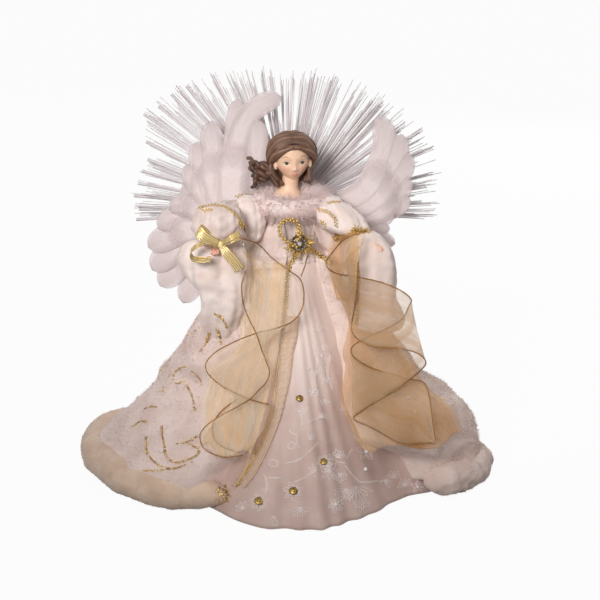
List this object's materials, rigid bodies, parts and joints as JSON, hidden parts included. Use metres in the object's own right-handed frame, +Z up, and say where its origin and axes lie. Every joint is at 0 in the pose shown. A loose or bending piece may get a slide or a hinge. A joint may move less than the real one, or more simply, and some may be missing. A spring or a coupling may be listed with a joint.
{
  "type": "angel tree topper",
  "caption": "Lighted angel tree topper: hollow cone base, cloth and plush skirts, swinging feather wings, fibre halo and a battery lamp unit behind a hinged cover.",
  "frame": {"origin": "centre of the overall box on the floor plane, under the cone", "axes": "+Z up, the angel faces -Y, +X to the angel's left"},
  "size_m": [0.3143, 0.2213, 0.3064],
  "materials": {
    "cone_board": "matt",
    "white_plastic": "satin",
    "core_plastic": "matt",
    "cast_skin": "painted, satin",
    "cast_hair": "painted, satin",
    "white_cloth": "sheer weave",
    "gown_cloth": "satin with embroidered tulle",
    "collar_yarn": "eyelash yarn",
    "white_plush": "short plush",
    "beige_fur": "fur",
    "gold_organza": "sheer organza",
    "gold_braid": "metallic braid",
    "gold_ribbon": "metallic ribbon",
    "brooch_metal": "antique",
    "crystal": "faceted",
    "feather": "matt feather",
    "wing_card": "matt",
    "clear_fibre": "clear fibre",
    "steel": "plated",
    "cell": "printed sleeve, no marks",
    "black_plastic": "matt",
    "lens": "clear dome"
  },
  "bodies": {
    "figure": {"skirt_cone": "cone_board", "cone_cap": "white_plastic", "torso_core": "core_plastic", "head_bust": "cast_skin", "moulded_hair": "cast_hair", "bodice": "white_cloth", "fur_collar": "collar_yarn", "waist_band": "white_cloth", "gown_skirt": "gown_cloth", "right_plush_panel": "white_plush", "left_plush_panel": "white_plush", "right_fur_hem": "beige_fur", "left_fur_hem": "white_plush", "right_organza_panel": "gold_organza", "left_organza_panel": "gold_organza", "right_wired_ribbon": "gold_organza", "left_wired_ribbon": "gold_organza", "right_upper_sleeve": "white_cloth", "left_upper_sleeve": "white_cloth", "right_arm_wire": "steel", "left_arm_wire": "steel", "right_sleeve_braid": "gold_braid", "left_sleeve_braid": "gold_braid", "right_hand": "cast_skin", "left_hand": "cast_skin", "right_hanging_sleeve": "white_plush", "left_hanging_sleeve": "white_plush", "brooch_setting": "brooch_metal", "brooch_stone": "crystal", "waist_braid": "gold_braid", "wrist_bow": "gold_ribbon", "back_plate": "white_plastic", "left_plate_screw": "steel", "right_plate_screw": "steel", "right_wing_rivet": "steel", "left_wing_rivet": "steel", "halo_hub": "white_plastic", "fibre_halo": "clear_fibre", "box_bracket": "white_plastic", "battery_box": "white_plastic", "cover_hinge_pin": "steel", "cell_1": "cell", "cell_2": "cell", "cell_3": "cell", "upper_contact_strip": "steel", "lower_contact_strip": "steel", "lamp_housing": "white_plastic", "lamp_led": "lens", "fibre_ferrule": "steel", "fibre_bundle": "black_plastic"},
    "right_wing": {"right_wing_card": "wing_card", "right_wing_lower_feathers": "feather", "right_wing_upper_feathers": "feather"},
    "left_wing": {"left_wing_card": "wing_card", "left_wing_lower_feathers": "feather", "left_wing_upper_feathers": "feather"},
    "cover": {"battery_cover": "white_plastic"},
    "switch": {"power_switch": "black_plastic"}
  },
  "joints": [
    {"name": "right_wing_raise", "type": "hinge", "parent": "figure", "child": "right_wing", "pos_m": [-0.017, 0.0201, 0.196], "axis": [0, 1, 0], "range_deg": [-6, 10]},
    {"name": "left_wing_raise", "type": "hinge", "parent": "figure", "child": "left_wing", "pos_m": [0.017, 0.0201, 0.196], "axis": [0, -1, 0], "range_deg": [-3, 10]},
    {"name": "battery_cover_hinge", "type": "hinge", "parent": "figure", "child": "cover", "pos_m": [0, 0.0649, 0.0182], "axis": [-1, 0, 0], "range_deg": [0, 95]},
    {"name": "power_switch_slide", "type": "slide", "parent": "figure", "child": "switch", "axis": [0, 0, 1], "range_m": [0, 0.004]}
  ]
}
